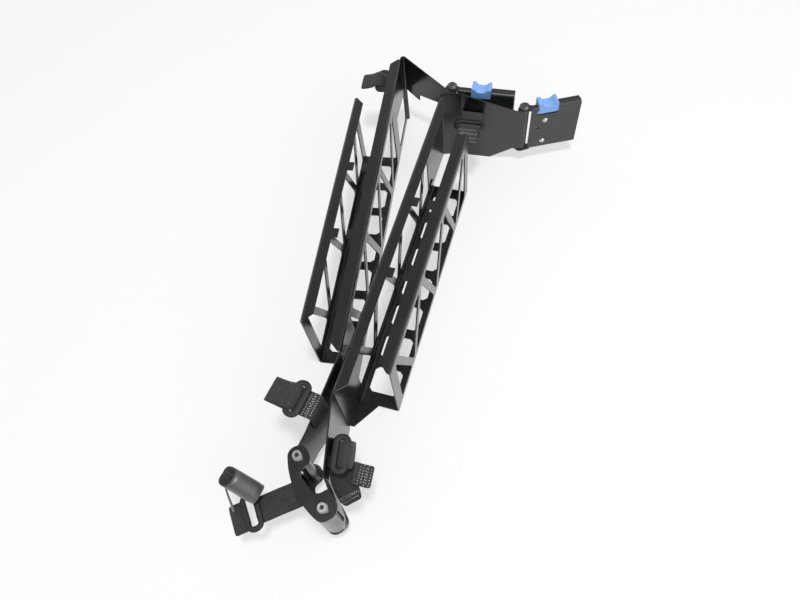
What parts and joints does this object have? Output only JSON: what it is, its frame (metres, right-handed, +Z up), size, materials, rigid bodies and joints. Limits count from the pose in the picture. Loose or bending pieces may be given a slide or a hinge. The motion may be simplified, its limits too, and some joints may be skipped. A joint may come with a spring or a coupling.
{
  "type": "cable management arm",
  "caption": "Folding steel cable arm for a rack server: open lattice troughs hinged at an elbow link, with sprung latch brackets for the slide rails.",
  "frame": {"origin": "centre of the fixing hole in the outer bracket's front plate, halfway through the sheet", "axes": "+X along the outer bracket to its rail socket, +Y from the elbow to the brackets, +Z up along the hinge pins"},
  "size_m": [0.2255, 0.4618, 0.084],
  "materials": {
    "black_paint": "gloss",
    "grey_paint": "satin",
    "blue_plastic": "satin",
    "black_plastic": "satin",
    "bright_steel": "satin",
    "strap": "matte"
  },
  "bodies": {
    "outer_bracket": {"outer_bracket_plate": "grey_paint", "outer_latch_housing": "black_plastic", "outer_bracket_rivets": "bright_steel", "outer_hinge_pin": "bright_steel"},
    "outer_release": {"outer_release_tab": "blue_plastic"},
    "rear_arm": {"rear_long_wall": "black_paint", "rear_tray": "black_paint", "rear_wall_lip": "black_paint", "rear_tray_lip": "black_paint", "rear_elbow_strap": "strap", "rear_elbow_buckle": "black_plastic", "rear_mount_strap": "strap", "rear_mount_buckle": "black_plastic", "rear_wall_tabs": "black_paint", "rear_tray_tabs": "black_paint"},
    "elbow_link": {"elbow_top_plate": "black_paint", "elbow_bottom_plate": "black_paint", "elbow_guide_wall": "black_paint", "rear_elbow_pin": "bright_steel", "front_elbow_pin": "bright_steel", "elbow_guide_strap": "strap", "elbow_guide_buckle": "black_plastic", "elbow_guide_roll": "strap"},
    "front_arm": {"front_long_wall": "black_paint", "front_tray": "black_paint", "front_elbow_bush": "black_plastic", "front_wall_lip": "black_paint", "front_tray_lip": "black_paint", "front_elbow_strap": "strap", "front_elbow_buckle": "black_plastic", "front_mount_strap": "strap", "front_mount_buckle": "black_plastic", "front_wall_tabs": "black_paint", "front_tray_tabs": "black_paint"},
    "inner_bracket": {"inner_bracket_plate": "grey_paint", "inner_latch_housing": "black_plastic", "inner_bracket_rivets": "bright_steel", "inner_hinge_pin": "bright_steel"},
    "inner_release": {"inner_release_tab": "blue_plastic"}
  },
  "joints": [
    {"name": "outer_mount_hinge", "type": "hinge", "parent": "outer_bracket", "child": "rear_arm", "pos_m": [-0.0215, 0.0041, -0.001], "axis": [0, 0, 1], "range_deg": [-115, 6]},
    {"name": "rear_elbow_hinge", "type": "hinge", "parent": "rear_arm", "child": "elbow_link", "pos_m": [-0.06337, -0.38027, -0.001], "axis": [0, 0, 1], "range_deg": [-75, 0]},
    {"name": "front_elbow_hinge", "type": "hinge", "parent": "elbow_link", "child": "front_arm", "pos_m": [-0.03532, -0.41153, -0.001], "axis": [0, 0, 1], "range_deg": [-90, 0]},
    {"name": "inner_mount_hinge", "type": "hinge", "parent": "front_arm", "child": "inner_bracket", "pos_m": [0.05222, -0.01396, -0.001], "axis": [0, 0, 1], "range_deg": [-95, 60]},
    {"name": "outer_release_slide", "type": "slide", "parent": "outer_bracket", "child": "outer_release", "axis": [0, 0, -1], "range_m": [0, 0.003], "stiffness_N_per_m": 800, "springref_m": -0.001},
    {"name": "inner_release_slide", "type": "slide", "parent": "inner_bracket", "child": "inner_release", "axis": [0, 0, -1], "range_m": [0, 0.003], "stiffness_N_per_m": 800, "springref_m": -0.001}
  ]
}
